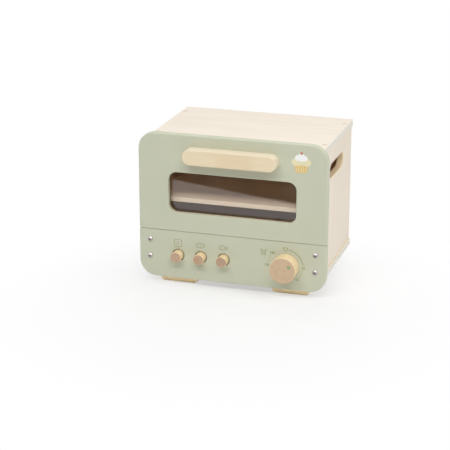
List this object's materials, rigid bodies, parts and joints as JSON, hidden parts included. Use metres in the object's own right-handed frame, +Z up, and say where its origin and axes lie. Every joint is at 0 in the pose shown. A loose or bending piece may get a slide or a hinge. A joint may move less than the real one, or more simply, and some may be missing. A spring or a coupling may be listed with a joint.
{
  "type": "toy oven",
  "caption": "Wooden play oven: plywood box with hand slots, drop-down glazed door, fixed shelf, sprung push buttons and a turning dial.",
  "frame": {"origin": "middle of the whole object's footprint, on the surface that the feet stand on", "axes": "+X to the right seen from the front, +Y from the front to the back, +Z up"},
  "size_m": [0.281, 0.2136, 0.229],
  "materials": {
    "plywood": "clear satin lacquer over birch plywood",
    "thin_plywood": "clear lacquer over thin plywood",
    "beech": "clear satin lacquer over beech",
    "sage_paint": "matt grey-green paint over plywood",
    "smoked_acrylic": "clear brown-tinted polished acrylic",
    "screw_steel": "zinc plated",
    "hinge_steel": "zinc plated",
    "magnet_nickel": "nickel plated",
    "spring_steel": "drawn spring wire",
    "spindle_steel": "turned steel",
    "white_nylon": "moulded nylon",
    "felt": "pressed felt"
  },
  "bodies": {
    "root": {"bottom_board": "plywood", "top_board": "plywood", "left_side_panel": "plywood", "right_side_panel": "plywood", "shelf": "plywood", "back_panel": "thin_plywood", "bay_cover": "thin_plywood", "guide_board": "thin_plywood", "left_shelf_rail": "beech", "right_shelf_rail": "beech", "left_shelf_strip": "beech", "right_shelf_strip": "beech", "front_left_foot": "beech", "front_right_foot": "beech", "rear_left_foot": "beech", "rear_right_foot": "beech", "guide_blocks": "beech", "top_board_plugs": "beech", "control_panel": "sage_paint", "rail_screws": "screw_steel", "foot_screws": "screw_steel", "bottom_board_screws": "screw_steel", "top_board_screws": "screw_steel", "control_panel_screws": "screw_steel", "hinge_plate_screws": "screw_steel", "guide_screws": "screw_steel", "left_hinge_plate": "hinge_steel", "right_hinge_plate": "hinge_steel", "door_magnets": "magnet_nickel", "left_button_spring": "spring_steel", "middle_button_spring": "spring_steel", "right_button_spring": "spring_steel", "dial_bush": "white_nylon", "dial_felt_washer": "felt"},
    "door": {"door_panel": "sage_paint", "window_pane": "smoked_acrylic", "pane_screws": "screw_steel", "door_handle": "beech", "handle_screws": "screw_steel", "hinge_pins": "hinge_steel", "pin_plugs": "sage_paint", "strike_plates": "magnet_nickel"},
    "left_button": {"left_button": "beech", "left_button_collar": "white_nylon"},
    "middle_button": {"middle_button": "beech", "middle_button_collar": "white_nylon"},
    "right_button": {"right_button": "beech", "right_button_collar": "white_nylon"},
    "dial": {"dial": "beech", "dial_spindle": "spindle_steel", "dial_back_washer": "spindle_steel", "dial_nut": "spindle_steel"}
  },
  "joints": [
    {"name": "door_hinge", "type": "hinge", "parent": "root", "child": "door", "pos_m": [0, -0.0819, 0.0884], "axis": [1, 0, 0], "range_deg": [0, 90]},
    {"name": "left_button_push", "type": "slide", "parent": "root", "child": "left_button", "axis": [0, 1, 0], "range_m": [0, 0.005], "stiffness_N_per_m": 200, "springref_m": -0.003, "deforming": ["left_button_spring"]},
    {"name": "middle_button_push", "type": "slide", "parent": "root", "child": "middle_button", "axis": [0, 1, 0], "range_m": [0, 0.005], "stiffness_N_per_m": 200, "springref_m": -0.003, "deforming": ["middle_button_spring"]},
    {"name": "right_button_push", "type": "slide", "parent": "root", "child": "right_button", "axis": [0, 1, 0], "range_m": [0, 0.005], "stiffness_N_per_m": 200, "springref_m": -0.003, "deforming": ["right_button_spring"]},
    {"name": "dial_turn", "type": "hinge", "parent": "root", "child": "dial", "pos_m": [0.0814, -0.0867, 0.0465], "axis": [0, 1, 0], "continuous": true}
  ]
}
